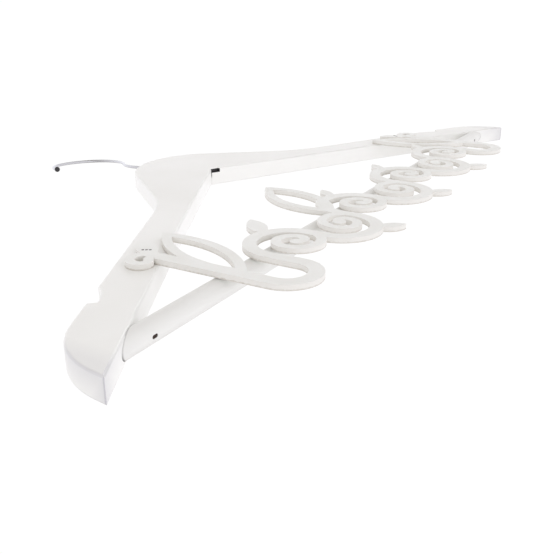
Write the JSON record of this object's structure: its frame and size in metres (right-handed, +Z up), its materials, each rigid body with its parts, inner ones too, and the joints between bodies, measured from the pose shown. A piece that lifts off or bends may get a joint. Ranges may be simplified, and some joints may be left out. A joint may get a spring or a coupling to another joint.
{
  "type": "wooden clothes hanger",
  "caption": "White painted wooden clothes hanger with strap notches, a round trouser bar, a swivelling wire hook and a thin scrollwork plate pinned across the front of the arms.",
  "frame": {"origin": "inside top of the hook's bend, on the wire's surface where the rail touches it", "axes": "+Z up along the hook's stem, +X along the span towards the arm on the viewer's right when the plate faces the viewer, +Y through the thickness towards the plain back; the plate and front faces look towards -Y, and the arms' mid-plane is at y -6.1 mm because the hook leans back a little"},
  "size_m": [0.445, 0.015, 0.266],
  "materials": {
    "painted_wood": "brushed satin white paint over smooth wood",
    "painted_plate": "cream white paint on a thin sawn board, darker on its cut edges",
    "bare_wood": "plain beech",
    "hook_wire": "bright plated wire",
    "ball_cap": "near-black moulded ball",
    "washer_steel": "plain stamped steel",
    "dark_steel": "dark blued steel"
  },
  "bodies": {
    "hook": {"hook": "hook_wire", "hook_ball": "ball_cap"},
    "hanger": {"left_arm": "painted_wood", "right_arm": "painted_wood", "neck_plug": "painted_wood", "trouser_bar": "painted_wood", "bar_dowels": "bare_wood", "bar_brads": "dark_steel", "hook_washer": "washer_steel", "scroll_plate": "painted_plate", "plate_brads": "dark_steel"}
  },
  "joints": [
    {"name": "hook_swivel", "type": "hinge", "parent": "hook", "child": "hanger", "pos_m": [0, -0.00607, -0.0757], "axis": [0, 0, 1], "continuous": true}
  ]
}
